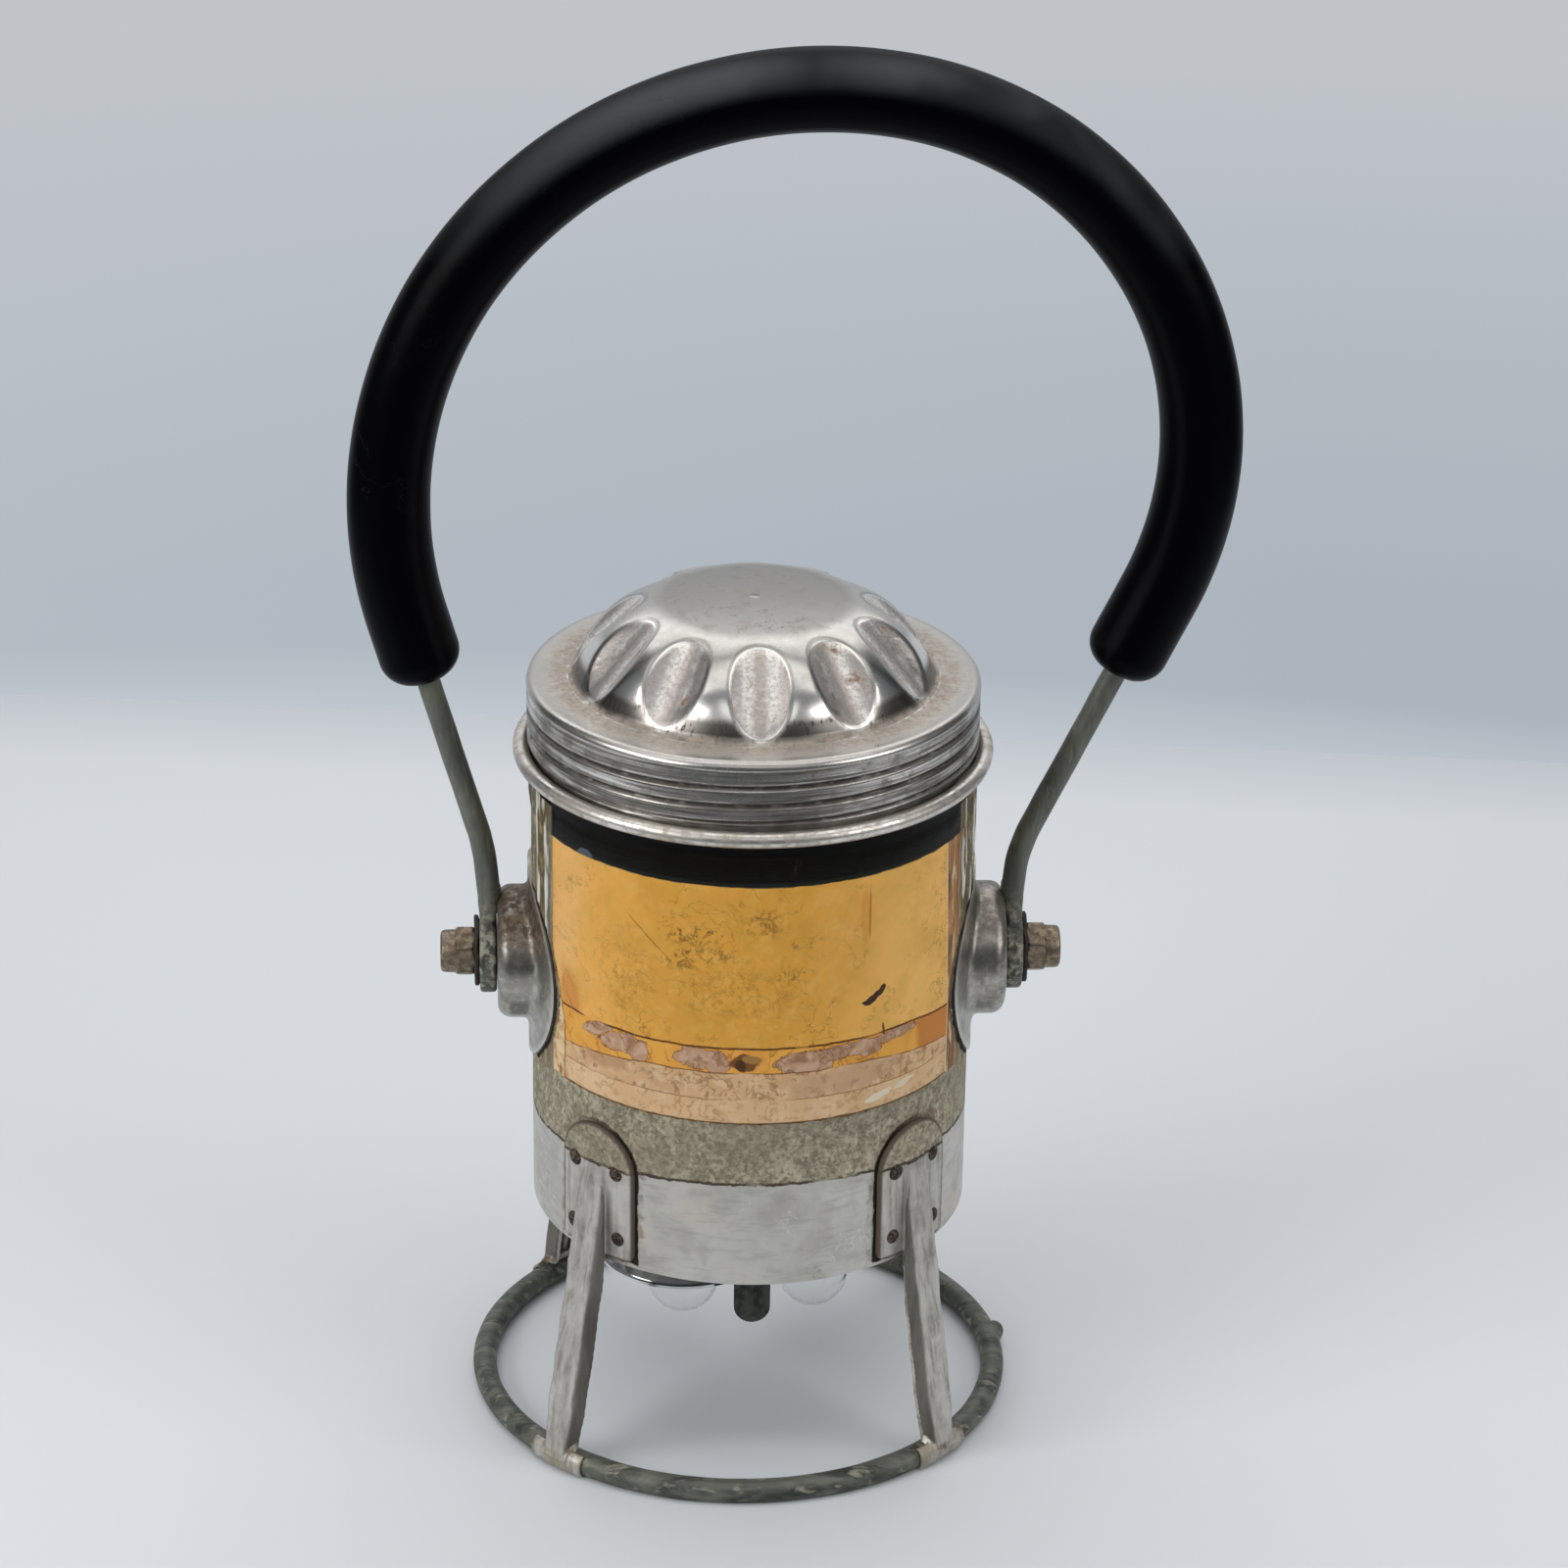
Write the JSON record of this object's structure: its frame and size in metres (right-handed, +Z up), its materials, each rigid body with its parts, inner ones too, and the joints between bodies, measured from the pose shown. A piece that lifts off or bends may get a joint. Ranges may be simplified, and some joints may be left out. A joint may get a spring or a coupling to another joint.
{
  "type": "railroad lantern",
  "caption": "Electric railroad hand lantern: round aluminium body with a dimpled screw cap, wire bail with a thick grip, legs on a wire ring, bare bulbs and a switch lever below.",
  "frame": {"origin": "on the body's axis, in the plane that the base ring stands on", "axes": "+Z up along the body's axis, -Y towards the front with the card, +X to the right seen from the front; the bail pivots about the X direction"},
  "size_m": [0.187, 0.1194, 0.3061],
  "materials": {
    "aluminium": "satin",
    "cap_metal": "satin",
    "ear_metal": "satin",
    "leg_metal": "satin",
    "wire_steel": "matte",
    "rivet_steel": "matte",
    "nut_steel": "satin",
    "spring_steel": "satin",
    "lever_steel": "matte",
    "brass": "satin",
    "rubber": "matte",
    "washer_rubber": "matte",
    "fibre": "matte",
    "jacket": "satin",
    "cell_mix": "matte",
    "reflector_metal": "polished",
    "glass": "gloss",
    "filament_metal": "matte",
    "black_tape": "satin",
    "card": "matte",
    "clear_tape": "gloss"
  },
  "bodies": {
    "root": {"body_shell": "aluminium", "threaded_neck": "aluminium", "battery_case": "jacket", "battery_cells": "cell_mix", "battery_lid": "fibre", "battery_terminals": "brass", "lamp_pan": "aluminium", "contact_board": "fibre", "centre_contact": "brass", "ring_contact": "brass", "board_spacers": "brass", "board_screws": "nut_steel", "socket_left": "brass", "socket_right": "brass", "socket_insulators": "fibre", "socket_contacts": "brass", "reflector": "reflector_metal", "bulb_left_glass": "glass", "bulb_left_base": "brass", "bulb_left_filament": "filament_metal", "bulb_right_glass": "glass", "bulb_right_base": "brass", "bulb_right_filament": "filament_metal", "switch_pivot": "rivet_steel", "switch_contacts": "brass", "ear_left": "ear_metal", "ear_right": "ear_metal", "pivot_bolt_left": "nut_steel", "pivot_bolt_right": "nut_steel", "washer_left": "washer_rubber", "washer_right": "washer_rubber", "stop_nut_left": "nut_steel", "stop_nut_right": "nut_steel", "leg_front_left": "leg_metal", "leg_front_right": "leg_metal", "leg_rear_left": "leg_metal", "leg_rear_right": "leg_metal", "leg_rivets": "rivet_steel", "base_ring": "wire_steel", "tape_band": "black_tape", "label_card": "card", "clear_tape": "clear_tape"},
    "bail": {"bail_wire": "wire_steel", "bail_grip": "rubber"},
    "pressure": {"pressure_plate": "brass", "pressure_spring": "spring_steel"},
    "cap": {"cap": "cap_metal", "cap_gasket": "rubber", "spring_seat": "spring_steel"},
    "switch": {"switch_lever": "lever_steel", "switch_wiper": "brass"}
  },
  "joints": [
    {"name": "bail_swing", "type": "hinge", "parent": "root", "child": "bail", "pos_m": [0, 0, 0.1045], "axis": [1, 0, 0], "range_deg": [-118, 118]},
    {"name": "cap_lift", "type": "slide", "parent": "root", "child": "pressure", "axis": [0, 0, 1], "range_m": [0, 0.0134]},
    {"name": "cap_turn", "type": "hinge", "parent": "pressure", "child": "cap", "pos_m": [0, 0, 0.16], "axis": [0, 0, 1], "range_deg": [0, 1200]},
    {"name": "switch_swing", "type": "hinge", "parent": "root", "child": "switch", "pos_m": [0, 0, 0.052], "axis": [0, 0, 1], "range_deg": [-18, 18]}
  ],
  "couplings": [
    {"joint": "cap_lift", "follows": "cap_turn", "m_per_rad": 0.00063662}
  ]
}
